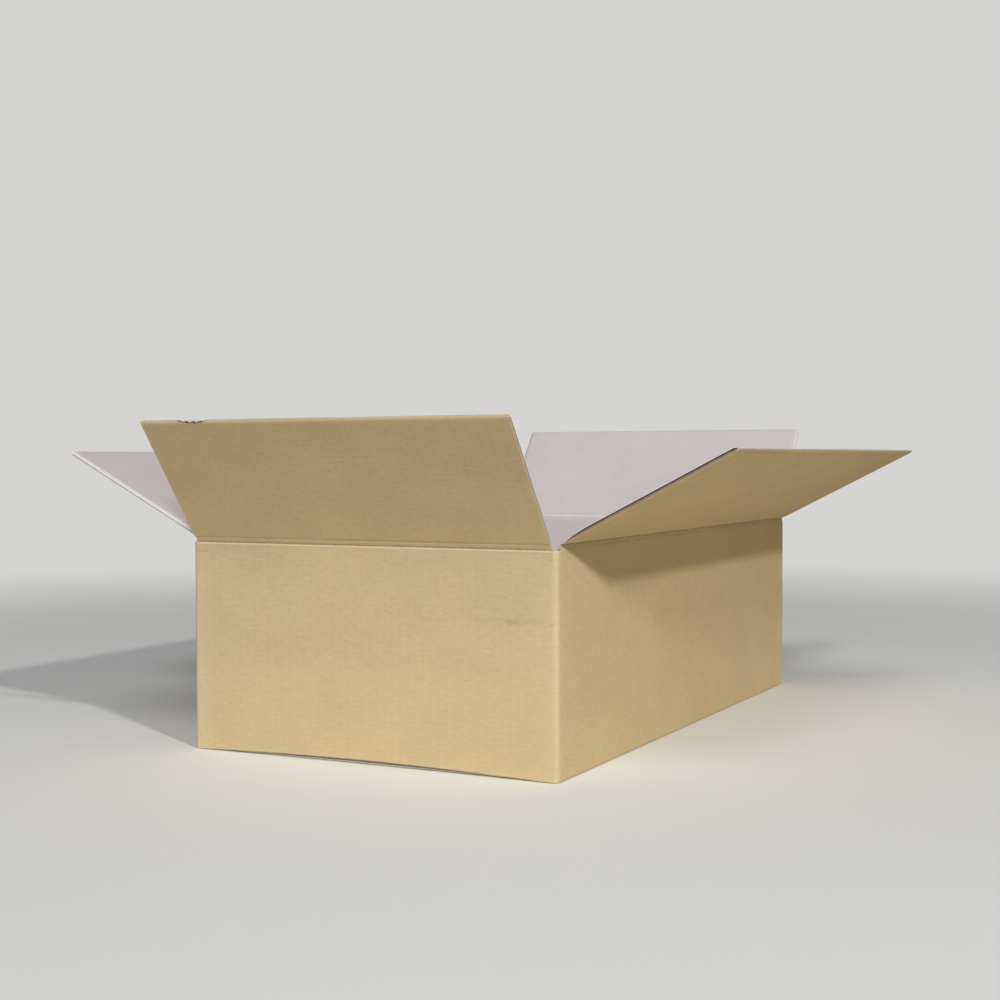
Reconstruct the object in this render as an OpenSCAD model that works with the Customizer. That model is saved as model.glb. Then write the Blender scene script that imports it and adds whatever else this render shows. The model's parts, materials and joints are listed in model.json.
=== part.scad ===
// Corrugated cardboard shipping box, standing open on its closed bottom.
// One creased sheet makes the walls, the bottom and the four top flaps, which hinge at their creases.
// The origin is on the floor under the middle of the box, X along its length, Z up.

/* [Box] */
// Length over the outer faces of the two end panels
box_length = 665; // [400:1:900]
// Width over the outer faces of the two long panels
box_width = 386; // [260:1:600]
// Height from the floor to the crease of the end flaps
box_height = 200; // [100:1:400]
// Outer radius of the folded upright corners
corner_radius = 5; // [4.2:0.1:8]
// Outer radius of the folds along the bottom edges
bottom_fold_radius = 3; // [1:0.1:3.3]

/* [Board] */
// Thickness of the corrugated board
board = 4; // [3.4:0.1:4.1]
// Thickness of each flat liner
liner = 0.4; // [0.2:0.05:0.6]
// Thickness of the wavy sheet between the liners
medium = 0.35; // [0.2:0.05:0.5]
// Distance from one wave to the next
flute_pitch = 7.9; // [6.5:0.1:9.5]
// Width of a wave's flat crest, where it is glued to a liner
flute_crest = 1.2; // [0.6:0.1:2]

/* [Top flaps] */
// Length of an end flap, from its crease to its free edge
end_flap_length = 140; // [80:1:180]
// Length of a long flap, from its crease to its free edge
long_flap_length = 177; // [100:1:190]
// Lean of the end flaps outwards from upright, in degrees
end_flap_lean = 36; // [0:1:90]
// Lean of the long flaps outwards from upright, in degrees
long_flap_lean = 63; // [0:1:90]
// Distance from a box corner to the side edge of an end flap
end_slot = 5; // [4.5:0.5:8]
// Distance from a box corner to the side edge of a long flap
long_slot = 7; // [6:0.5:12]
// Clearance of a flap from the panel it is creased to, and from a flap closed under it
crease_gap = 0.3; // [0.2:0.05:0.5]
// Width of the crease, where the waves are crushed flat
crease_width = 8; // [6:0.5:12]

/* [Bottom flaps] */
// Length of a bottom end flap, from the outer face of its panel
bottom_end_flap_length = 140; // [60:1:180]
// Gap between the two long bottom flaps, along the middle of the floor
bottom_seam = 1; // [0.5:0.5:6]
// Distance from an end panel's outer face to the cut edge of the long bottom flaps
bottom_slot = 3; // [1:0.5:3.3]

/* [Glue tab] */
// Width of the tab that is glued inside the rear panel
tab_width = 35; // [20:1:50]
// Slope of the tab's upper and lower ends, in degrees
tab_slope = 15; // [0:1:30]
// Outer radius of the fold between the end panel and the tab
tab_fold_radius = 3; // [1:0.1:3.2]
// Depth of the open space between the liners in the rear panel's cut edge, beside that fold
cut_edge_depth = 2; // [0.5:0.5:3]
// Height left free between the tab and the flaps above and below it
tab_clearance = 2; // [1:0.5:8]

/* [Crushed nick] */
// Length of the crushed nick in the left end flap's free edge
nick_length = 34; // [10:1:60]
// Depth of the nick below the free edge
nick_depth = 3.2; // [1:0.1:6]
// Distance from the flap's rear side edge to the middle of the nick
nick_place = 58; // [35:1:150]

/* [Hidden] */
$fn = 48;
kraft = [0.76, 0.65, 0.47];
// Height of the long flaps' crease: a closed long flap lies on top of the closed end flaps
long_crease_z = box_height + board + crease_gap;
end_flap_width = box_width - 2 * end_slot;
long_flap_width = box_length - 2 * long_slot;
// Height of the open space between a wave's crest and the far liner
flute_height = board - 2 * liner - medium;
// Thickness of a slanting web, measured along the board
web = 1.4 * medium;
// How far a cutting shape reaches past the surface that it cuts
over = 1;
// An arc of this radius rises by the board's thickness over the width of an end panel
toe_radius = (pow(box_width / 2 - corner_radius, 2) + pow(board, 2)) / (2 * board);
// An arc of this radius cuts the nick's length at the nick's depth
nick_radius = (pow(nick_length / 2, 2) + pow(nick_depth, 2)) / (2 * nick_depth);

// Flat rectangle with round corners, centred
module rounded_rectangle(length, width, radius) {
    square([length - 2 * radius, width], center = true);
    square([length, width - 2 * radius], center = true);
    for (x = [-1, 1], y = [-1, 1])
        translate([x * (length / 2 - radius), y * (width / 2 - radius)]) circle(radius);
}

// Outline of the box from the end: square at the top, with a round fold along each bottom edge
module end_outline(width, height, radius) {
    translate([-width / 2, radius]) square([width, height - radius]);
    translate([radius - width / 2, 0]) square([width - 2 * radius, height]);
    for (y = [-1, 1])
        translate([y * (width / 2 - radius), radius]) circle(radius);
}

// Plan of the corner where the sheet's two ends meet: the rear panel runs on to the end panel's
// outer face and ends there in a cut edge, and the end panel folds in behind it to the tab
module glued_corner_plan() {
    translate([box_length / 2 - corner_radius, box_width / 2 - board])
        square([corner_radius, board]);
}

// Plan of the rounded fold line beside that cut edge, and of the open space between its liners
module glued_corner_grooves() {
    translate([box_length / 2 - tab_fold_radius, box_width / 2 - board - tab_fold_radius])
        difference() {
            square([tab_fold_radius + over, tab_fold_radius]);
            circle(tab_fold_radius);
        }
    translate([box_length / 2 - cut_edge_depth, box_width / 2 - board + liner])
        square([cut_edge_depth + over, flute_height]);
}

// The four upright panels, up to the crease of the long flaps
module panels() {
    difference() {
        intersection() {
            linear_extrude(long_crease_z) {
                rounded_rectangle(box_length, box_width, corner_radius);
                glued_corner_plan();
            }
            rotate([90, 0, 90])
                linear_extrude(box_length, center = true)
                    end_outline(box_width, long_crease_z, bottom_fold_radius);
        }
        translate([0, 0, -over])
            linear_extrude(long_crease_z + 2 * over)
                rounded_rectangle(box_length - 2 * board, box_width - 2 * board, corner_radius - board);
    }
}

// The closed bottom: two long flaps on the floor, and the two end flaps on top of them
module bottom_flaps() {
    // each kind starts inside the panel that it is folded from
    long_reach = box_width / 2 - bottom_fold_radius - bottom_seam / 2;
    end_reach = bottom_end_flap_length - board / 2;
    for (side = [-1, 1]) {
        translate([0, side * (bottom_seam + long_reach) / 2, board / 2])
            cube([box_length - 2 * bottom_slot, long_reach, board], center = true);
        translate([side * (box_length - board - end_reach) / 2, 0, 1.5 * board])
            cube([end_reach, end_flap_width, board], center = true);
    }
}

// The glue tab: the end panel's last strip, folded in and glued inside the rear panel
module glue_tab() {
    low = 2 * board + tab_clearance;
    high = box_height - board - tab_clearance;
    taper = tab_width * tan(tab_slope);
    translate([box_length / 2 - board, box_width / 2 - board, 0])
        rotate([90, 0, 0])
            linear_extrude(board)
                polygon([[over, low], [-tab_width, low + taper],
                         [-tab_width, high - taper], [over, high]]);
}

// Space above the panels: the slots at the corners, and the mitre under each crease
module above_the_creases() {
    for (turn = [0, 180]) {
        rotate(turn) {
            // slot and end crease
            translate([box_length / 2 - long_slot, -box_width / 2 - over, box_height - crease_gap])
                cube([long_slot + over, box_width + 2 * over, box_height]);
            translate([box_length / 2, 0, box_height - crease_gap])
                rotate([90, 0, 0])
                    linear_extrude(box_width - 2 * board, center = true)
                        crease_mitre();
            // long crease
            translate([0, box_width / 2, long_crease_z - crease_gap])
                rotate([90, 0, 90])
                    linear_extrude(box_length - 2 * long_slot, center = true)
                        crease_mitre();
        }
    }
}

// Section of what a mitre takes off: from the outer face down at 45 degrees past the inner face
module crease_mitre() {
    past = board + over;
    polygon([[over, over], [over, 0], [0, 0], [-past, -past], [-past, over]]);
}

// Space under an end panel: the panel bows up from its corners and shows the cut edges behind it
module under_the_end_panels() {
    for (side = [-1, 1])
        translate([side * box_length / 2, 0, board - toe_radius])
            rotate([0, 90, 0])
                cylinder(r = toe_radius, h = 2 * bottom_slot, center = true, $fn = 720);
}

module box_body() {
    color(kraft)
        difference() {
            union() {
                panels();
                bottom_flaps();
                glue_tab();
            }
            above_the_creases();
            under_the_end_panels();
            translate([0, 0, -over])
                linear_extrude(long_crease_z + 2 * over)
                    glued_corner_grooves();
        }
}

// Section across the waves of a flap: two liners, and open spaces on both sides of the wavy sheet.
// The side edges are cut along a wave, so they are open between the liners.
module corrugated_section(width) {
    waves = round(width / flute_pitch);
    pitch = width / waves;
    base = (pitch - 2 * web - flute_crest * (1 + medium / flute_height)) / (1 - medium / flute_height);
    translate([-width / 2, 0])
        difference() {
            square([width, board]);
            for (i = [0 : waves])
                translate([i * pitch, board - liner])
                    flute_space(base, -flute_height);
            for (i = [0.5 : waves - 0.5])
                translate([i * pitch, liner])
                    flute_space(base, flute_height);
        }
}

// One open space of the section, wide at a liner and narrow at a wave's crest
module flute_space(base, height) {
    polygon([[-base / 2, 0], [base / 2, 0], [flute_crest / 2, height], [-flute_crest / 2, height]]);
}

// A flap, upright over its crease line, with its outer face at y = 0 and its inner face at y = board.
// Its foot is mitred, so that it turns from closed to folded right back without meeting its panel.
module flap(width, length) {
    rotate([90, 0, 90])
        linear_extrude(width, center = true)
            polygon([[0, crease_gap], [board, board + crease_gap],
                     [board, crease_width], [0, crease_width]]);
    translate([0, 0, crease_width])
        linear_extrude(length - crease_width)
            corrugated_section(width);
}

// The same flap, leaning outwards at the crease of the panel that faces turn
module hinged_end_flap(turn) {
    rotate(turn)
        translate([0, -box_length / 2, box_height])
            rotate([end_flap_lean, 0, 0])
                flap(end_flap_width, end_flap_length);
}

module hinged_long_flap(turn) {
    rotate(turn)
        translate([0, -box_width / 2, long_crease_z])
            rotate([long_flap_lean, 0, 0])
                flap(long_flap_width, long_flap_length);
}

// The nick: the outer liner and the waves are crushed down, and the inner liner still stands
module crushed_nick() {
    rotate(-90)
        translate([0, -box_length / 2, box_height])
            rotate([end_flap_lean, 0, 0])
                translate([nick_place - end_flap_width / 2, 0, end_flap_length - nick_depth + nick_radius])
                    rotate([90, 0, 0])
                        cylinder(r = nick_radius, h = 2 * (board - 2 * liner), center = true);
}

module left_end_flap() {
    color(kraft)
        difference() {
            hinged_end_flap(-90);
            crushed_nick();
        }
}

module right_end_flap() {
    color(kraft) hinged_end_flap(90);
}

module front_long_flap() {
    color(kraft) hinged_long_flap(0);
}

module rear_long_flap() {
    color(kraft) hinged_long_flap(180);
}

box_body();
left_end_flap();
right_end_flap();
front_long_flap();
rear_long_flap();
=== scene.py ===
"""Cardboard shipping box, standing open: its folded sheet of corrugated board and its papers."""

import json
import math

import bmesh
import bpy
import numpy as np
from mathutils import Matrix, Vector


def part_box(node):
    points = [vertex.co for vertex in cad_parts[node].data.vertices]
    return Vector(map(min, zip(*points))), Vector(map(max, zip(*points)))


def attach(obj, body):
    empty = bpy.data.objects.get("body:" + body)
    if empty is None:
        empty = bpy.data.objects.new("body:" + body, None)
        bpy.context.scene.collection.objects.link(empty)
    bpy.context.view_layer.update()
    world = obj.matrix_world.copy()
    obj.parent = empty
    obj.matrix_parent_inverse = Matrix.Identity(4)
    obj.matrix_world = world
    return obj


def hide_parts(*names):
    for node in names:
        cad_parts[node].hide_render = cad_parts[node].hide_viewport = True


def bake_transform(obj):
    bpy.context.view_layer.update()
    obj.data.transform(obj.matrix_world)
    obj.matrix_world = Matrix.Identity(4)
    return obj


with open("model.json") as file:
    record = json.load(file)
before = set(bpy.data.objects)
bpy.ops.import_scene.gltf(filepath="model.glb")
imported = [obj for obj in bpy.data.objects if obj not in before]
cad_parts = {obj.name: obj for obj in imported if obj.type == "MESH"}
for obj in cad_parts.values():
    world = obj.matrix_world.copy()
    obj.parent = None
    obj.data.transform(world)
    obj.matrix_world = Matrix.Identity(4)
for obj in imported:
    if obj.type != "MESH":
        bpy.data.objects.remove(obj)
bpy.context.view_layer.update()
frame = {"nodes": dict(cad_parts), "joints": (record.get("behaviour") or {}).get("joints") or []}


# The outer liner
# Brown kraft paper, glued over the fluting, is the outside of the box. Its fibres lie mostly across
# the flutes, its brown is cloudy, and the flutes under it show as a faint washboard.

board = 0.004
paper = 0.0004
flute_pitch = 0.0079


class Wire:
    """An output of a node, on which Python's arithmetic adds Math nodes."""

    def __init__(self, tree, socket=None):
        self.tree, self.socket = tree, socket

    def node(self, kind, inputs, output=0, **settings):
        """Adds a node, sets it, gives its sockets values or wires, and returns one of its outputs."""
        added = self.tree.nodes.new(kind)
        for name, setting in settings.items():
            setattr(added, name, setting)
        for name, value in inputs.items():
            if isinstance(value, Wire):
                self.tree.links.new(value.socket, added.inputs[name])
            else:
                added.inputs[name].default_value = value
        return Wire(self.tree, added.outputs[output])

    def math(self, operation, first, second=0.0):
        """A Math node's result."""
        return self.node("ShaderNodeMath", {0: first, 1: second}, operation=operation)

    def __add__(self, other):
        return self.math("ADD", self, other)

    def __radd__(self, other):
        return self.math("ADD", other, self)

    def __sub__(self, other):
        return self.math("SUBTRACT", self, other)

    def __rsub__(self, other):
        return self.math("SUBTRACT", other, self)

    def __mul__(self, other):
        return self.math("MULTIPLY", self, other)

    def __rmul__(self, other):
        return self.math("MULTIPLY", other, self)

    def __truediv__(self, other):
        return self.math("DIVIDE", self, other)

    def __mod__(self, other):
        return self.math("FLOORED_MODULO", self, other)

    def noise(self, stretch, scale, detail, roughness):
        """Noise over the flat sheet, with its grain drawn out by the stretch."""
        place = self.node("ShaderNodeMapping", {"Vector": self, "Scale": stretch})
        inputs = {"Vector": place, "Scale": scale, "Detail": detail, "Roughness": roughness}
        return self.node("ShaderNodeTexNoise", inputs)

    def ramp(self, low, high, start=0.0, end=1.0):
        """A smooth step from start at low to end at high."""
        inputs = {"Value": self, "From Min": low, "From Max": high, "To Min": start, "To Max": end}
        return self.node("ShaderNodeMapRange", inputs, interpolation_type="SMOOTHSTEP")

    def tint(self, share, colour):
        """This colour, mixed with another one by a share."""
        second = colour if isinstance(colour, Wire) else (*colour, 1.0)
        return self.node("ShaderNodeMix", {0: share, 6: self, 7: second}, output=2, data_type="RGBA")


def shaded(colour, factor):
    """A colour made darker or lighter by a factor."""
    return tuple(channel * factor for channel in colour)


def paper_finish(name, colour, fibre, rubbed_and_highlight, cloud, speckle, washboard, roughness):
    """Paper that reads the flat sheet's own coordinates, so that its pattern follows every fold."""
    material = bpy.data.materials.new(name)
    material.use_nodes = True
    tree = material.node_tree
    tree.nodes.clear()
    start = Wire(tree)
    flat = start.node("ShaderNodeAttribute", {}, output=1, attribute_name="flat")
    wear = start.node("ShaderNodeAttribute", {}, output=2, attribute_name="wear")
    across = start.node("ShaderNodeSeparateXYZ", {"Vector": flat})
    clouds = flat.noise((1.0, 1.6, 1.0), 14.0, 4.0, 0.6)
    blotches = flat.noise((1.0, 2.6, 1.0), 120.0, 4.0, 0.65)
    streaks = flat.noise((0.22, 1.0, 1.0), 420.0, 4.0, 0.65)
    fibres = flat.noise((0.3, 1.0, 1.0), 1300.0, 2.0, 0.5)
    grain = flat.noise((0.7, 1.0, 1.0), 2600.0, 1.0, 0.5)
    waves = start.math("COSINE", across * (2 * math.pi / flute_pitch))

    light, dark = shaded(colour, 1 + cloud), shaded(colour, 1 - cloud)
    inputs = {0: clouds.ramp(0.3, 0.7), 6: (*dark, 1.0), 7: (*light, 1.0)}
    tone = start.node("ShaderNodeMix", inputs, output=2, data_type="RGBA")
    tone = tone.tint(blotches.ramp(0.5, 0.72, 0.0, 0.6), shaded(colour, 1 - 3 * cloud))
    tone = tone.tint(blotches.ramp(0.48, 0.3, 0.0, 0.6), shaded(colour, 1 + 2.6 * cloud))
    tone = tone.tint(streaks.ramp(0.55, 0.75, 0.0, speckle), fibre)
    tone = tone.tint(streaks.ramp(0.42, 0.28, 0.0, speckle), rubbed_and_highlight)
    tone = tone.tint(fibres.ramp(0.62, 0.78, 0.0, 1.6 * speckle), fibre)
    tone = tone.tint(fibres.ramp(0.36, 0.24, 0.0, speckle), rubbed_and_highlight)
    tone = tone.tint(waves.ramp(-1.0, 1.0, 0.0, 0.6 * cloud), fibre)
    # the attribute read here lightens the paper towards the rubbed colour. It stands for rubbed paper,
    # and also for painted highlight on the crease beads, the inner crease ridge, the rounded folds and
    # the nick's torn liner, and for painted light on the bottom flaps' cut sides
    tone = tone.tint(wear * (0.55 + 0.45 * streaks.ramp(0.35, 0.65)), rubbed_and_highlight)

    height = waves * washboard + streaks * 0.00006 + grain * 0.00004 + blotches * 0.00012
    bump = start.node("ShaderNodeBump", {"Strength": 0.8, "Distance": 1.0, "Height": height})
    matt = start.math("ADD", roughness - 0.04, blotches * 0.08)
    shader = start.node(
        "ShaderNodeBsdfPrincipled",
        {"Base Color": tone, "Roughness": matt, "Specular IOR Level": 0.25, "Normal": bump},
    )
    output = tree.nodes.new("ShaderNodeOutputMaterial")
    tree.links.new(shader.socket, output.inputs["Surface"])
    return material


kraft_paper = paper_finish(
    "kraft_paper",
    colour=(0.625, 0.475, 0.265),
    fibre=(0.30, 0.20, 0.10),
    rubbed_and_highlight=(0.80, 0.66, 0.47),
    cloud=0.036,
    speckle=0.24,
    washboard=0.00002,
    roughness=0.82,
)
kraft_cut_edge = paper_finish(
    "kraft_cut_edge",
    colour=(0.50, 0.38, 0.24),
    fibre=(0.3, 0.21, 0.12),
    rubbed_and_highlight=(0.80, 0.72, 0.58),
    cloud=0.1,
    speckle=0.3,
    washboard=0.0,
    roughness=0.9,
)


# The inner liner
# The inside is faced with off-white paper, a little pinkish and grey, with fine dark flecks. Where
# it is cut it shows a pale, furry edge.

white_paper = paper_finish(
    "white_paper",
    colour=(0.66, 0.578, 0.558),
    fibre=(0.38, 0.33, 0.31),
    rubbed_and_highlight=(0.82, 0.78, 0.76),
    cloud=0.018,
    speckle=0.1,
    washboard=0.00003,
    roughness=0.8,
)
white_cut_edge = paper_finish(
    "white_cut_edge",
    colour=(0.78, 0.73, 0.70),
    fibre=(0.5, 0.44, 0.4),
    rubbed_and_highlight=(0.9, 0.87, 0.84),
    cloud=0.08,
    speckle=0.25,
    washboard=0.0,
    roughness=0.9,
)


# The fluting
# The wavy sheet between the liners is darker recycled brown paper. It shows only at the cut edges:
# as open waves at the flaps' free edges, and as a dark groove along the edges cut beside a flute.

fluting_thickness = 0.00035
points_per_wave = 12
# the two faces of the waved sheet join only where their edges meet
seam_reach = 0.00001
fluting_paper = paper_finish(
    "fluting_paper",
    colour=(0.33, 0.24, 0.15),
    fibre=(0.20, 0.14, 0.08),
    rubbed_and_highlight=(0.74, 0.66, 0.56),
    cloud=0.05,
    speckle=0.2,
    washboard=0.0,
    roughness=0.92,
)
# the materials of every sheet: a liner's cut edge has the slot after the liner's own
papers = [kraft_paper, kraft_cut_edge, white_paper, white_cut_edge, fluting_paper]
outer_slot, inner_slot, fluting_slot = 0, 2, 4


def fluting_tree():
    """Geometry nodes: waves across X, drawn out along the rows of points that come in."""
    tree = bpy.data.node_groups.new("fluting", "GeometryNodeTree")
    sockets = [
        ("Rows", "NodeSocketGeometry"),
        ("Width", "NodeSocketFloat"),
        ("Waves", "NodeSocketInt"),
        ("Points per Wave", "NodeSocketInt"),
        ("Wave Height", "NodeSocketFloat"),
        ("Bottom", "NodeSocketFloat"),
        ("Phase", "NodeSocketFloat"),
        ("Thickness", "NodeSocketFloat"),
        ("Material", "NodeSocketMaterial"),
    ]
    for name, kind in sockets:
        tree.interface.new_socket(name, in_out="INPUT", socket_type=kind)
    tree.interface.new_socket("Fluting", in_out="OUTPUT", socket_type="NodeSocketGeometry")
    entry = tree.nodes.new("NodeGroupInput")
    given = {name: Wire(tree, entry.outputs[name]) for name, _ in sockets}
    start = Wire(tree)
    rows = start.node("GeometryNodeAttributeDomainSize", {"Geometry": given["Rows"]})
    sizes = {
        "Size X": given["Width"],
        "Size Y": 1.0,
        "Vertices X": given["Waves"] * given["Points per Wave"] + 1,
        "Vertices Y": rows,
    }
    grid = start.node("GeometryNodeMeshGrid", sizes)
    index = start.node("GeometryNodeInputIndex", {})
    place = start.node("GeometryNodeInputPosition", {})
    across = start.node("ShaderNodeSeparateXYZ", {"Vector": place})
    row = start.node(
        "GeometryNodeSampleIndex",
        {"Geometry": given["Rows"], "Value": place, "Index": index % rows},
        data_type="FLOAT_VECTOR",
    )
    along = start.node("ShaderNodeSeparateXYZ", {"Vector": row}, output=1)
    turns = across / given["Width"] * given["Waves"] * (2 * math.pi)
    wave = start.math("COSINE", turns + math.pi * given["Waves"] + given["Phase"])
    lift = given["Bottom"] + given["Wave Height"] * (0.5 + 0.5 * wave)
    curve = start.node("ShaderNodeCombineXYZ", {"X": across, "Y": along, "Z": lift})
    waved = start.node("GeometryNodeSetPosition", {"Geometry": grid, "Position": curve})
    back = start.node("GeometryNodeFlipFaces", {"Mesh": waved})
    face = {"Mesh": waved, "Offset Scale": given["Thickness"], "Individual": False}
    front = start.node("GeometryNodeExtrudeMesh", face)
    both = tree.nodes.new("GeometryNodeJoinGeometry")
    for side in (front, back):
        tree.links.new(side.socket, both.inputs[0])
    halves = {"Geometry": Wire(tree, both.outputs[0]), "Distance": seam_reach}
    closed = start.node("GeometryNodeMergeByDistance", halves)
    real = start.node("GeometryNodeRealizeInstances", {"Geometry": closed})
    finished = start.node("GeometryNodeSetMaterial", {"Geometry": real, "Material": given["Material"]})
    leave = tree.nodes.new("NodeGroupOutput")
    tree.links.new(finished.socket, leave.inputs["Fluting"])
    return tree


def plain_mesh(source):
    """The mesh of an object with its modifiers applied. The object itself is removed."""
    bpy.context.view_layer.update()
    graph = bpy.context.evaluated_depsgraph_get()
    mesh = bpy.data.meshes.new_from_object(source.evaluated_get(graph))
    bpy.data.objects.remove(source)
    return mesh


def shown(name, mesh):
    """An object for a mesh, in the scene."""
    made = bpy.data.objects.new(name, mesh)
    bpy.context.scene.collection.objects.link(made)
    return made


waves_tree = fluting_tree()


def fluting(width, rows, phase):
    """The wavy sheet of one flat board, whose side edges are cut along a crest at a phase of 0."""
    mesh = bpy.data.meshes.new("rows")
    mesh.from_pydata([(0, row, 0) for row in rows], [(i, i + 1) for i in range(len(rows) - 1)], [])
    source = shown("rows", mesh)
    modifier = source.modifiers.new("fluting", "NODES")
    modifier.node_group = waves_tree
    settings = {
        "Width": width,
        "Waves": round(width / flute_pitch),
        "Points per Wave": points_per_wave,
        "Wave Height": board - 2 * paper - fluting_thickness,
        "Bottom": paper,
        "Phase": phase,
        "Thickness": fluting_thickness,
        "Material": fluting_paper,
    }
    for socket in waves_tree.interface.items_tree:
        if socket.name in settings:
            modifier[socket.identifier] = settings[socket.name]
    sheet = plain_mesh(source)
    sheet.polygons.foreach_set("material_index", [fluting_slot] * len(sheet.polygons))
    return sheet


def liner(columns, rows, depth, slot, kept):
    """One liner of a flat board: quads over the cells that are kept, given the paper's thickness."""
    count = len(rows)
    points = [(column, row, depth) for column in columns for row in rows]
    quads = [
        (i * count + j, (i + 1) * count + j, (i + 1) * count + j + 1, i * count + j + 1)
        for i in range(len(columns) - 1)
        for j in range(count - 1)
        if kept((columns[i] + columns[i + 1]) / 2, (rows[j] + rows[j + 1]) / 2)
    ]
    used, corners = np.unique(quads, return_inverse=True)
    mesh = bpy.data.meshes.new("liner")
    mesh.from_pydata([points[k] for k in used], [], corners.reshape(-1, 4).tolist())
    for material in papers:
        mesh.materials.append(material)
    mesh.polygons.foreach_set("material_index", [slot] * len(quads))
    source = shown("liner", mesh)
    modifier = source.modifiers.new("paper", "SOLIDIFY")
    modifier.thickness = paper
    modifier.offset = 1.0
    modifier.material_offset_rim = 1
    return plain_mesh(source)


least_space = 0.00005
sharp_angle = math.radians(35)


def press(depth, outer, inner):
    """Depths in a crushed board: the liners keep their thickness, and the waves give way."""
    space = np.maximum(inner - outer - 2 * paper, least_space)
    share = np.clip((depth - paper) / (board - 2 * paper), 0, 1)
    return outer + np.minimum(depth, paper) + share * space + np.clip(depth - board + paper, 0, paper)


def folded(name, sheets, place, mirrored=True):
    """Joins flat sheets into one mesh and folds it: place turns flat points into places, and into wear
    with painted light, which lightens the paper.

    Where the depth runs into the box and the sheet upwards, the flat sheet comes out mirrored.
    """
    joined = bmesh.new()
    for sheet in sheets:
        joined.from_mesh(sheet)
        bpy.data.meshes.remove(sheet)
    mesh = bpy.data.meshes.new(name)
    joined.to_mesh(mesh)
    joined.free()
    flat = np.empty(len(mesh.vertices) * 3)
    mesh.vertices.foreach_get("co", flat)
    points, sheet_place, wear = place(*flat.reshape(-1, 3).T)
    mesh.vertices.foreach_set("co", np.stack(points, -1).ravel())
    mesh.attributes.new("flat", "FLOAT_VECTOR", "POINT").data.foreach_set(
        "vector", np.stack(sheet_place, -1).ravel()
    )
    mesh.attributes.new("wear", "FLOAT", "POINT").data.foreach_set("value", wear)
    if mirrored:
        mesh.flip_normals()
    mesh.shade_smooth()
    mesh.set_sharp_from_angle(angle=sharp_angle)
    for material in papers:
        mesh.materials.append(material)
    return shown(name, mesh)


# The walls
# Four upright panels of one sheet, folded round three corners and at a fourth into the glue tab,
# which is glued inside the rear panel. Slots between the flaps end at the corners, in a cut edge.

length = frame["nodes"]["box_body"].dimensions.x
width = frame["nodes"]["box_body"].dimensions.y
joints = {joint["name"]: joint for joint in frame["joints"]}
end_crease = joints["left_end_crease"]["pos_m"][2]
long_crease = joints["front_long_crease"]["pos_m"][2]
corner_radius = 0.005
tab_radius = 0.003
tab_width = 0.036
tab_slope = math.radians(15)
tab_clearance = 0.002
end_slot = 0.005
long_slot = 0.007
slot_floor = end_crease - 0.0003
strip = 0.010
fold_dip = 0.0005
fold_give = 0.0004
fold_inner_radius = 0.0006
cut_pinch = 0.0026
cut_pinch_reach = 0.0015
rubbed_reach = 0.002
bow_reach = 0.05
long_toe_radius = 0.003
end_toe_radius = 0.002

# runs of the sheet in its order round the box: length, and the radius of the fold that ends it
quarter = math.pi / 2
runs = [
    (length - corner_radius, corner_radius),
    (width - 2 * corner_radius, corner_radius),
    (length - 2 * corner_radius, corner_radius),
    (width - corner_radius - board - tab_radius, tab_radius),
    (tab_width, None),
]
rear_middle = length / 2
left_middle = runs[0][0] + quarter * corner_radius + runs[1][0] / 2
front_middle = left_middle + runs[1][0] / 2 + quarter * corner_radius + runs[2][0] / 2
right_middle = front_middle + runs[2][0] / 2 + quarter * corner_radius + width / 2 - corner_radius


def plan(sheet_across):
    """Places on the walls' outer face, and the headings there, for lengths along the flat sheet."""
    x, y, heading = np.zeros_like(sheet_across), np.zeros_like(sheet_across), np.zeros_like(sheet_across)
    corner = np.array([length / 2, width / 2])
    start, turn = 0.0, math.pi
    for run, radius in runs:
        way = np.array([math.cos(turn), math.sin(turn)])
        here = sheet_across >= start - 1e-9
        gone = sheet_across[here] - start
        x[here], y[here] = corner[0] + gone * way[0], corner[1] + gone * way[1]
        heading[here] = turn
        start, corner = start + run, corner + run * way
        if radius:
            centre = corner + radius * np.array([-way[1], way[0]])
            here = sheet_across >= start
            angle = turn - quarter + np.minimum((sheet_across[here] - start) / radius, quarter)
            x[here], y[here] = centre[0] + radius * np.cos(angle), centre[1] + radius * np.sin(angle)
            heading[here] = angle + quarter
            start, turn = start + quarter * radius, turn + quarter
            corner = centre + radius * np.array([math.cos(turn - quarter), math.sin(turn - quarter)])
    return x, y, heading


def smooth(value):
    """A smooth step from 0 to 1, while the value goes from 0 to 1."""
    value = np.clip(value, 0, 1)
    return value * value * (3 - 2 * value)


def bump_at(value, place, reach):
    """A round bump of height 1 at a place."""
    return np.exp(-(((value - place) / reach) ** 2))


# how far each fold's paper is lightened: rubbed paper, and a painted highlight along the rounded fold
fold_wear_and_highlight = (0.5, 0.1, 0.4, 0.4)
folds = []
start = 0.0
for run, radius in runs[:-1]:
    folds.append((start + run, start + run + quarter * radius, radius))
    start += run + quarter * radius
sheet_end = start + tab_width
tab_start = folds[-1][1]


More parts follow.
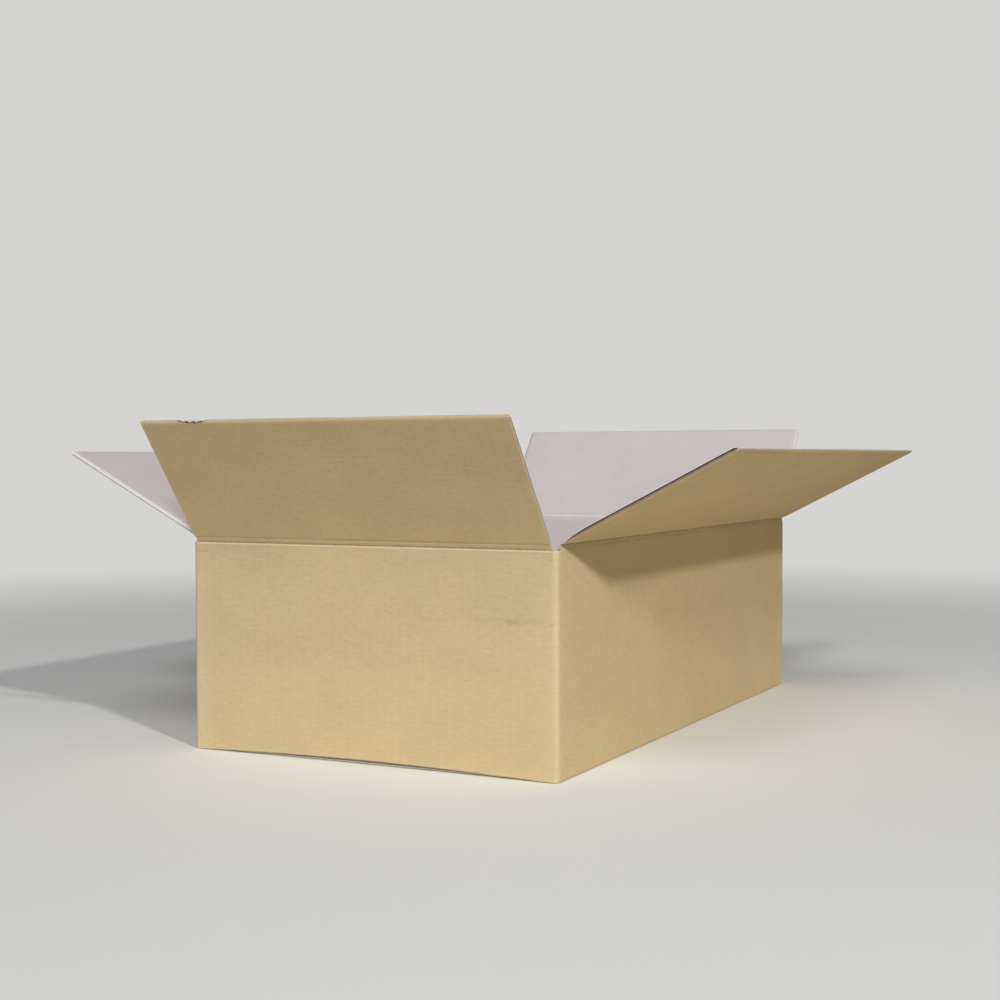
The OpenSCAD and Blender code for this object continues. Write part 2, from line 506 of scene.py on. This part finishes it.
def wall_place(across, along, depth):
    """Folds the walls' flat sheet round the corners."""
    x, y, heading = plan(across)
    facing_end = np.abs(np.sin(heading))
    # the end panels bow up from the corners at their bottom edge
    bow = np.where(facing_end > 0.99, board * (1 - (y / (width / 2 - corner_radius)) ** 2), 0)
    rise = np.clip(bow, 0, None) * (1 - smooth(along / bow_reach))
    toe = np.where(facing_end > 0.7, end_toe_radius, long_toe_radius)
    short = np.clip(toe - along, 0, None)
    outer = toe - np.sqrt(np.clip(toe**2 - short**2, 0, None))
    inner = np.full_like(across, board)
    wear = 0.5 * bump_at(along, 0, rubbed_reach)
    for rubbed_and_highlight, (first, last, radius) in zip(fold_wear_and_highlight, folds):
        middle, half = (first + last) / 2, (last - first) / 2
        crush = board - min(board - fold_give, radius - fold_inner_radius)
        inner -= (crush - fold_dip) * bump_at(across, middle, 1.2 * half)
        outer += fold_dip * bump_at(across, middle, 1.7 * half)
        # rubbed paper and a painted highlight along the fold
        wear += rubbed_and_highlight * bump_at(across, middle, 2.5 * half)
    inner -= cut_pinch * bump_at(along, slot_floor, cut_pinch_reach)
    pressed = press(depth, outer, inner)
    # the tab is cut narrower than the walls, with sloping ends
    tab = smooth((across - tab_start) / 0.002)
    slope = np.clip(across - tab_start, 0, None) * math.tan(tab_slope)
    low = 2 * board + tab_clearance + slope
    high = end_crease - board - tab_clearance - slope
    share = along / slot_floor
    up = (along + rise) * (1 - tab) + (low + (high - low) * share) * tab
    inward_x, inward_y = -np.sin(heading), np.cos(heading)
    points = (x + pressed * inward_x, y + pressed * inward_y, up)
    wear += 0.5 * bump_at(across, 0, rubbed_reach) + 0.5 * bump_at(along, slot_floor, 0.001)
    return points, (across, along, depth), np.clip(wear, 0, 1)


def wall_columns():
    """Places along the sheet for the walls' columns of points, close together in the folds."""
    lines = [0, 0.0006, 0.002, long_slot, sheet_end - 0.002, sheet_end - 0.0006, sheet_end]
    before = 0.0
    for first, last, radius in folds:
        lines += list(np.linspace(before + 0.004, first - 0.004, 22))
        lines += [first - 0.002, *np.linspace(first, last, 9), last + 0.002]
        before = last
    lines += list(np.linspace(before + 0.004, sheet_end - 0.004, 4))
    return np.unique(np.round(lines, 6))


def in_wall(across, along):
    """Keeps the cells below the flaps' strips, and the corners up to the slots' ends."""
    for middle, half, top in (
        (rear_middle, length / 2 - long_slot, long_crease - strip),
        (left_middle, width / 2 - end_slot, end_crease - strip),
        (front_middle, length / 2 - long_slot, long_crease - strip),
        (right_middle, width / 2 - end_slot, end_crease - strip),
    ):
        if abs(across - middle) < half and along > top:
            return False
    return True


wall_rows = [0, 0.0002, 0.0006, 0.0012, 0.002, 0.003, 0.006, 0.012, 0.02, 0.03, 0.04, 0.055, 0.08]
wall_rows += [0.11, 0.14, 0.17, end_crease - strip, long_crease - strip, 0.1975, 0.199, slot_floor]
columns = wall_columns()
sheets = [
    liner(columns, wall_rows, 0.0, outer_slot, in_wall),
    liner(columns, wall_rows, board - paper, inner_slot, in_wall),
]
walls = folded("walls", sheets, wall_place)
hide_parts("box_body")
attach(walls, "box_body")


# a faint grey scuff and a spot on the near end panel, beside the corner
finish = kraft_paper.node_tree.nodes["Principled BSDF"]
clean = Wire(kraft_paper.node_tree, finish.inputs["Base Color"].links[0].from_socket)
flat = clean.node("ShaderNodeAttribute", {}, output=1, attribute_name="flat")
across = clean.node("ShaderNodeSeparateXYZ", {"Vector": flat}, output=0)
along = clean.node("ShaderNodeSeparateXYZ", {"Vector": flat}, output=1)
wander = flat.noise((1.0, 1.0, 1.0), 60.0, 3.0, 0.6)
scuff_grey = (0.40, 0.30, 0.18)
spot_brown = (0.30, 0.22, 0.13)


def close_to(value, place, reach):
    """1 where a wire's value is at a place, falling to 0 at a reach from it."""
    return value.math("ABSOLUTE", value - place).ramp(0.0, reach, 1.0, 0.0)


scuff = close_to(across, left_middle + 0.148, 0.052) * close_to(along + 0.012 * wander, 0.144, 0.0045)
spot = close_to(across, left_middle + 0.187, 0.0022) * close_to(along, 0.1356, 0.0018)
soiled = clean.tint(scuff * wander.ramp(0.35, 0.6, 0.1, 0.5), scuff_grey)
soiled = soiled.tint(spot * 0.45, spot_brown)
kraft_paper.node_tree.links.new(soiled.socket, finish.inputs["Base Color"])


# The closed bottom
# The two long flaps lie on the floor and nearly meet along the middle, and the two end flaps lie on
# top of them. All four are glued, and are boards of the same sheet.

bottom_seam = 0.001
bottom_slot = 0.003
bottom_end_length = 0.140
bottom_long_pinch = 0.0022
# each panel's turn from the front one, and its middle along the sheet
panels = {
    "front": (0.0, front_middle),
    "right": (quarter, right_middle),
    "rear": (math.pi, rear_middle),
    "left": (-quarter, left_middle),
}


def everywhere(across, along):
    """Keeps every cell of a sheet."""
    return True


def facing(turn, across, out):
    """Places in plan, for lengths along a panel's face and out of the box."""
    x = across * math.cos(turn) + out * math.sin(turn)
    y = across * math.sin(turn) - out * math.cos(turn)
    return x, y


def bottom_flap(side, board_width, start, reach, floor, phase, side_pinch):
    """A bottom flap, from its panel's inside towards the middle of the box."""
    turn, middle = panels[side]

    def place(across, along, depth):
        x, y = facing(turn, across, start - along)
        at_side = bump_at(np.abs(across), half, 0.003)
        up = floor + press(depth, np.zeros_like(depth), board - side_pinch * at_side)
        # painted light: the cut sides are lightened where they stand in the shade under the end panels,
        # and the far cut edge is rubbed paler
        wear = 0.8 * np.maximum(bump_at(along, reach, 0.0015), at_side)
        return (x, y, up), (middle + across, -along, depth), wear

    half = board_width / 2
    edges = np.array([0, 0.001, 0.002, 0.0035, 0.006])
    inside = np.linspace(0.012 - half, half - 0.012, 10)
    across = np.concatenate([edges - half, inside, half - edges[::-1]])
    rows = [0, 0.002, reach / 2, reach - 0.003, reach - 0.001, reach]
    made = [
        liner(across, rows, 0.0, outer_slot, everywhere),
        liner(across, rows, board - paper, inner_slot, everywhere),
        fluting(board_width, rows, phase),
    ]
    sheet = folded(f"{side}_bottom_flap", made, place, mirrored=False)
    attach(sheet, "box_body")


long_start = width / 2 - long_toe_radius
for side in ("front", "rear"):
    reach = long_start - bottom_seam / 2
    long_width = length - 2 * bottom_slot
    bottom_flap(side, long_width, long_start, reach, 0.0, math.pi, bottom_long_pinch)
for side in ("left", "right"):
    reach = bottom_end_length - board
    bottom_flap(side, width - 2 * end_slot, length / 2 - board, reach, board, 0.0, 0.0)


# The top flaps
# Each flap is the sheet's own continuation over a pressed crease, where the flutes are crushed flat.
# The outer liner has a valley between two low beads, and the die has pinched the cut edges.

bead = 0.0005
bead_above = 0.0036
bead_below = -0.0016
bead_reach = 0.0008
valley = 0.0013
valley_reach = 0.0006
groove = 0.0022
groove_reach = 0.0024
ridge_below_bend = 0.0034
ridge_reach = 0.0009
side_reach = 0.0013
free_pinch = 0.0030
free_curl = 0.0012
free_reach = 0.0016
crease_pinch = 0.0030
crease_pinch_reach = 0.013
crease_rubbed_reach = 0.0028
nick_middle = -0.130
nick_half = 0.017
nick_depth = 0.0032
nick_reach = 0.005
nick_peel = 0.4
nick_stand = 0.35
nick_press = 0.0014
nick_press_start = 0.009
nick_press_reach = 0.005
# the depth over which one layer of the board gives way to the next
layer_step = 0.0002


def flap(side, kind, reach, flap_width, flap_length, lean, bend_middle, bend_reach, side_pinch):
    """One top flap, with the strip of its panel below the crease."""
    name = f"{side}_{kind}_flap"
    turn, middle = panels[side]
    joint = joints[f"{side}_{kind}_crease"]
    crease = joint["pos_m"][2]
    beads = 1.0 if kind == "end" else 0.0
    nicked = name == "left_end_flap"

    def place(across, along, depth):
        # the sides are cut only above the slots' ends
        cut_side = smooth((along + crease - slot_floor) / 0.001)
        at_side = cut_side * bump_at(flap_width / 2 - np.abs(across), 0, side_reach)
        at_crease = bump_at(along, 0, crease_rubbed_reach)
        at_free = bump_at(along, flap_length, free_reach)
        dip = np.clip(1 - ((across - nick_middle) / nick_half) ** 2, 0, 1) * nicked
        at_free = at_free * (1 - smooth(2 * dip))
        above, below = bump_at(along, bead_above, bead_reach), bump_at(along, bead_below, bead_reach)
        ridges = beads * (above + below)
        outer = valley * bump_at(along, 0, valley_reach) - bead * ridges + free_curl * at_free
        inner_ridge = bump_at(along, bend_middle - ridge_below_bend, ridge_reach)
        inner = board - groove * bump_at(along, bend_middle, groove_reach) + bead * inner_ridge
        pinch = np.maximum(side_pinch, crease_pinch * bump_at(along, 0, crease_pinch_reach))
        inner -= (free_pinch - free_curl) * at_free + pinch * at_side
        into_nick = smooth((along - flap_length + nick_press_start) / nick_press_reach)
        inner -= nick_press * smooth(2 * dip) * into_nick
        pressed = press(depth, outer, inner)

        wear = 0.9 * at_free + 0.7 * at_side * (side_pinch > 0)
        # painted highlight: the outer liner's two beads and the inner ridge below the bend are lightened
        # as if catching the light, and the inside of the crease is rubbed
        wear += np.where(depth < board / 2, 0.9 * ridges, 0.3 * at_crease + 0.9 * inner_ridge)
        cut = along
        if nicked:
            # the outer liner and the waves are crushed down, the waves by less, and the inner
            # liner stands up behind them, torn off and bent upright
            loose = np.clip((board - paper - depth) / layer_step, 0, 1)
            stands = nick_stand * np.clip((depth - paper) / layer_step, 0, 1)
            near_free = np.clip(along - flap_length + nick_reach, 0, nick_reach)
            peeled = (1 - loose) * smooth(2 * dip) * near_free
            crushed = loose * (1 - stands) * dip * nick_depth * near_free / nick_reach
            cut = along - crushed - 0.5 * peeled
            pressed += nick_peel * peeled
            # the torn inner liner is lightened: pale torn paper, and a painted highlight where it faces
            # the light
            wear += (1 - loose) * smooth(2 * dip) * near_free / nick_reach

        angle = lean * smooth((cut - bend_middle) / (2 * bend_reach) + 0.5)
        out = reach + cut * np.sin(angle) - pressed * np.cos(angle)
        up = crease + cut * np.cos(angle) + pressed * np.sin(angle)
        x, y = facing(turn, across, out)
        return (x, y, up), (middle + across, crease + along, depth), np.clip(wear, 0, 1)

    half = flap_width / 2
    edges = np.array([0, 0.0006, 0.0012, 0.002, 0.004, 0.009])
    lines = [edges - half, np.linspace(0.018 - half, half - 0.018, 30), half - edges]
    if nicked:
        lines.append(np.linspace(nick_middle - nick_half, nick_middle + nick_half, 15))
    lines = np.unique(np.round(np.concatenate(lines), 6))
    free = [flap_length - gap for gap in (nick_reach, 0.003, 0.0015, 0.0006, 0)]
    near = np.arange(-0.0055, 0.0110, 0.0005)
    rows = [-strip, -0.0075, *near, *np.linspace(0.013, flap_length - 0.012, 14), *free]
    few_rows = [-strip, *near[::5], flap_length / 2, flap_length - 0.012, *free]
    made = [
        liner(lines, rows, 0.0, outer_slot, everywhere),
        liner(lines, rows, board - paper, inner_slot, everywhere),
        fluting(flap_width, few_rows, math.pi),
    ]
    sheet = folded(f"{name}_sheet", made, place)
    outwards = Vector((*facing(turn, 0.0, 1.0), 0.0))
    along_bend = outwards * math.sin(lean / 2) + Vector((0, 0, math.cos(lean / 2)))
    axis = Vector(joint["pos_m"])
    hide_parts(name)
    axis + (bend_middle - bend_reach) * along_bend
    axis + (bend_middle + bend_reach) * along_bend
    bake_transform(sheet)


end_lean = math.radians(36)
long_lean = math.radians(63)
end_length = (-length / 2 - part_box("left_end_flap")[0].x) / math.sin(end_lean)
long_length = (-width / 2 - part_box("front_long_flap")[0].y) / math.sin(long_lean)
end_size = (length / 2, width - 2 * end_slot, end_length, end_lean)
long_size = (width / 2, length - 2 * long_slot, long_length, long_lean)
flap("left", "end", *end_size, bend_middle=0.0045, bend_reach=0.003, side_pinch=0.0018)
flap("right", "end", *end_size, bend_middle=0.0065, bend_reach=0.004, side_pinch=0.0018)
flap("front", "long", *long_size, bend_middle=0.0, bend_reach=0.005, side_pinch=0.0)
flap("rear", "long", *long_size, bend_middle=0.0, bend_reach=0.005, side_pinch=0.0026)


# The floor and the light
# A pale, plain floor that fades into a pale surround, and soft studio light from four lamps: one
# at the right, which draws the front flap's shadow, two in front, and a wide one overhead.

surround_colour = (0.66, 0.655, 0.645, 1)
fade_start = 0.9
fade_end = 2.6
# light that the floor throws back onto the box: warm beside it, and dim further away
bounce_near = (0.95, 0.91, 0.74)
bounce_far = (0.3, 0.28, 0.22)
dim_start = 0.48
dim_end = 0.95
floor_pale = (0.88, 0.865, 0.83)
floor_half = 30.0
corners = [(-floor_half, -floor_half), (floor_half, -floor_half), (floor_half, floor_half)]
corners += [(-floor_half, floor_half)]
floor_mesh = bpy.data.meshes.new("floor")
floor_mesh.from_pydata([(x, y, 0) for x, y in corners], [], [(0, 1, 2, 3)])
floor = shown("floor", floor_mesh)
floor_paint = bpy.data.materials.new("floor_paint")
floor_paint.use_nodes = True
tree = floor_paint.node_tree
paint = tree.nodes["Principled BSDF"]
paint.inputs["Roughness"].default_value = 0.9


def seen_rays(tree):
    """1 for camera, gloss and transmission rays."""
    rays = [Wire(tree).node("ShaderNodeLightPath", {}, output=number) for number in (0, 3, 6)]
    return Wire(tree).math("MINIMUM", rays[0] + rays[1] + rays[2], 1.0)


def pale_where_seen(lit, share):
    """This shader, mixed by a share with the pale surround where a camera or gloss ray meets it."""
    seen = seen_rays(lit.tree)
    kind = "ShaderNodeEmission" if lit.tree.nodes.get("Principled BSDF") else "ShaderNodeBackground"
    pale = lit.node(kind, {"Color": surround_colour, "Strength": 1.0})
    return lit.node("ShaderNodeMixShader", {0: seen * share, 1: lit, 2: pale})


distance = Wire(tree).node("ShaderNodeTexCoord", {}, output=3)
distance = distance.node("ShaderNodeVectorMath", {0: distance}, output=1, operation="LENGTH")
bounce = Wire(tree).node("ShaderNodeRGB", {})
bounce.socket.default_value = (*bounce_near, 1)
bounce = bounce.tint(distance.ramp(dim_start, dim_end), bounce_far)
floor_colour = bounce.tint(seen_rays(tree), floor_pale)
tree.links.new(floor_colour.socket, paint.inputs["Base Color"])
faded = pale_where_seen(Wire(tree, paint.outputs[0]), distance.ramp(fade_start, fade_end))
tree.links.new(faded.socket, tree.nodes["Material Output"].inputs["Surface"])
floor_mesh.materials.append(floor_paint)


neutral = (1.0, 1.0, 1.0)
cool = (0.92, 1.0, 1.10)
lamp_target = Vector((0, 0, 0.15))
lamp_distance = 8.0


def lamp(name, direction, size, power, colour):
    """A square area lamp that shines on the box along a direction."""
    data = bpy.data.lights.new(name, "AREA")
    data.size, data.energy = size, power
    data.color = colour
    holder = bpy.data.objects.new(name, data)
    toward = Vector(direction).normalized()
    holder.location = lamp_target - toward * lamp_distance
    holder.rotation_euler = toward.to_track_quat("-Z", "Y").to_euler()
    bpy.context.scene.collection.objects.link(holder)


lamp("side_lamp", (0.68, 1.0, -0.75), size=0.35, power=242, colour=neutral)
lamp("front_lamp", (2.03, 1.0, -1.24), size=1.0, power=190, colour=cool)
lamp("low_lamp", (2.03, 1.0, -0.13), size=1.0, power=60, colour=cool)
lamp("high_lamp", (0.578, 0.21, -0.788), size=3.6, power=165, colour=neutral)
world_strength = 0.035
world = bpy.data.worlds.new("surround")
world.use_nodes = True
tree = world.node_tree
tree.nodes["Background"].inputs["Color"].default_value = (1, 1, 1, 1)
tree.nodes["Background"].inputs["Strength"].default_value = world_strength
backdrop = pale_where_seen(Wire(tree, tree.nodes["Background"].outputs[0]), 1.0)
tree.links.new(backdrop.socket, tree.nodes["World Output"].inputs["Surface"])
bpy.context.scene.world = world


# The camera
# It stands low, in front of the near end panel and to its right, as in the photograph.

photo_width = 1000
focal_pixels = 1564.43
camera_place = (-1.53996, -0.74842, 0.27876)
yaw, pitch, roll = math.radians(26.813), math.radians(-1.53), math.radians(-0.201)
camera_data = bpy.data.cameras.new("camera")
camera_data.sensor_width = 36.0
camera_data.lens = focal_pixels * camera_data.sensor_width / photo_width
camera = bpy.data.objects.new("camera", camera_data)
bpy.context.scene.collection.objects.link(camera)
heading = Vector((math.cos(yaw), math.sin(yaw), 0))
forward = heading * math.cos(pitch) + Vector((0, 0, math.sin(pitch)))
level = Vector((math.sin(yaw), -math.cos(yaw), 0))
upright = level.cross(forward)
right = math.cos(roll) * level + math.sin(roll) * upright
top = math.cos(roll) * upright - math.sin(roll) * level
turned = Matrix((right, top, -forward)).transposed().to_4x4()
camera.matrix_world = Matrix.Translation(camera_place) @ turned
bpy.context.scene.camera = camera

bpy.context.scene.view_settings.view_transform = "Standard"
